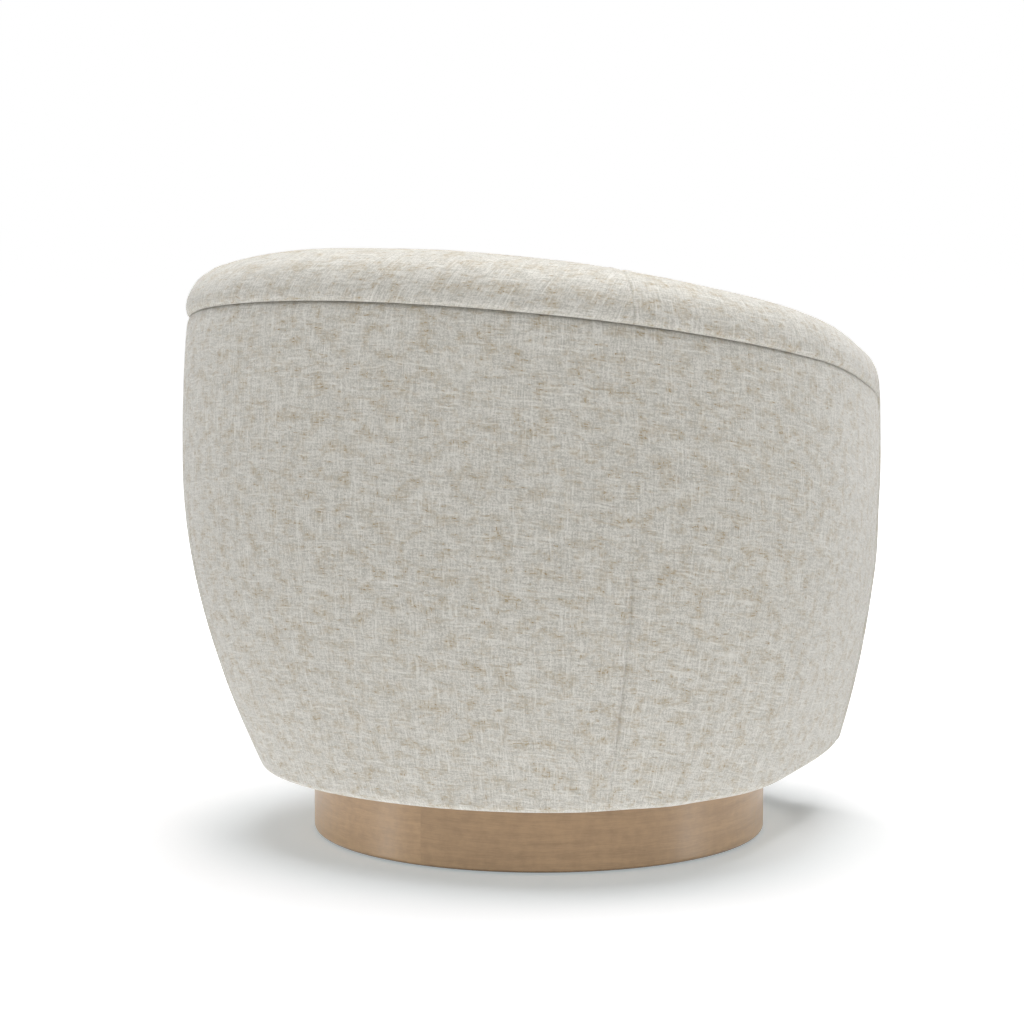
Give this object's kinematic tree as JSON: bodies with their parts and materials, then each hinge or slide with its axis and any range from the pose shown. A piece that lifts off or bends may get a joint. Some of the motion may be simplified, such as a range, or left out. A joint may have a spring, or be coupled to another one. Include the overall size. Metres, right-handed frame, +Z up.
{
  "type": "swivel barrel chair",
  "caption": "Upholstered barrel armchair with a padded top roll, a loose crowned seat cushion and a round oak plinth, turning on a ball-bearing swivel.",
  "frame": {"origin": "on the floor under the swivel axis, midway between the outermost back and front", "axes": "+Z up along the swivel axis, the sitter faces -Y, +X is the sitter's left"},
  "size_m": [0.83, 0.842, 0.7255],
  "materials": {
    "linen_weave": "heathered slub weave, oatmeal",
    "oak": "satin brown oak, grain round the plinth",
    "plywood": "raw birch plywood",
    "hardwood": "raw sawn hardwood",
    "nylon": "matte moulded nylon",
    "zinc_steel": "zinc-plated pressed steel",
    "polished_steel": "polished bearing steel",
    "spring_steel": "oil-tempered wire",
    "black_cambric": "black non-woven cloth",
    "felt": "needled felt",
    "webbing": "elastic woven band"
  },
  "bodies": {
    "base": {"plinth_wall": "plywood", "plinth_face_left": "oak", "plinth_face_right": "oak", "plinth_top_board": "plywood", "plinth_glue_blocks": "hardwood", "plinth_glides": "nylon", "swivel_lower_plate": "zinc_steel", "lower_plate_screws": "zinc_steel", "swivel_pivot": "zinc_steel"},
    "bearing": {"ball_cage": "nylon", "bearing_balls": "polished_steel"},
    "shell": {"swivel_upper_plate": "zinc_steel", "upper_plate_bolts": "zinc_steel", "bottom_board": "plywood", "dust_cover": "black_cambric", "back_ribs": "plywood", "side_ribs_left": "plywood", "side_ribs_right": "plywood", "arm_board_left": "plywood", "arm_board_right": "plywood", "top_rail_back": "plywood", "top_rail_left": "plywood", "top_rail_right": "plywood", "front_rail": "hardwood", "rear_rail": "hardwood", "side_rail_left": "hardwood", "side_rail_right": "hardwood", "corner_posts": "hardwood", "front_formers": "plywood", "front_apron": "plywood", "sinuous_springs": "spring_steel", "spring_clips": "zinc_steel", "deck_pad": "felt", "wall_webbing": "webbing", "outer_back": "linen_weave", "outer_arm_left": "linen_weave", "outer_arm_right": "linen_weave", "front_panel": "linen_weave", "inner_back": "linen_weave", "inner_arm_left": "linen_weave", "inner_arm_right": "linen_weave", "top_roll_back": "linen_weave", "top_roll_left": "linen_weave", "top_roll_right": "linen_weave"},
    "cushion": {"seat_cushion": "linen_weave"}
  },
  "joints": [
    {"name": "swivel", "type": "hinge", "parent": "base", "child": "shell", "pos_m": [0, 0, 0.085], "axis": [0, 0, 1], "continuous": true},
    {"name": "ball_ring_roll", "type": "hinge", "parent": "base", "child": "bearing", "pos_m": [0, 0, 0.085], "axis": [0, 0, 1], "continuous": true},
    {"name": "cushion_lift", "type": "slide", "parent": "shell", "child": "cushion", "axis": [0, 0, 1], "range_m": [0, 0.25]}
  ],
  "couplings": [
    {"joint": "ball_ring_roll", "follows": "swivel", "ratio": 0.5}
  ]
}
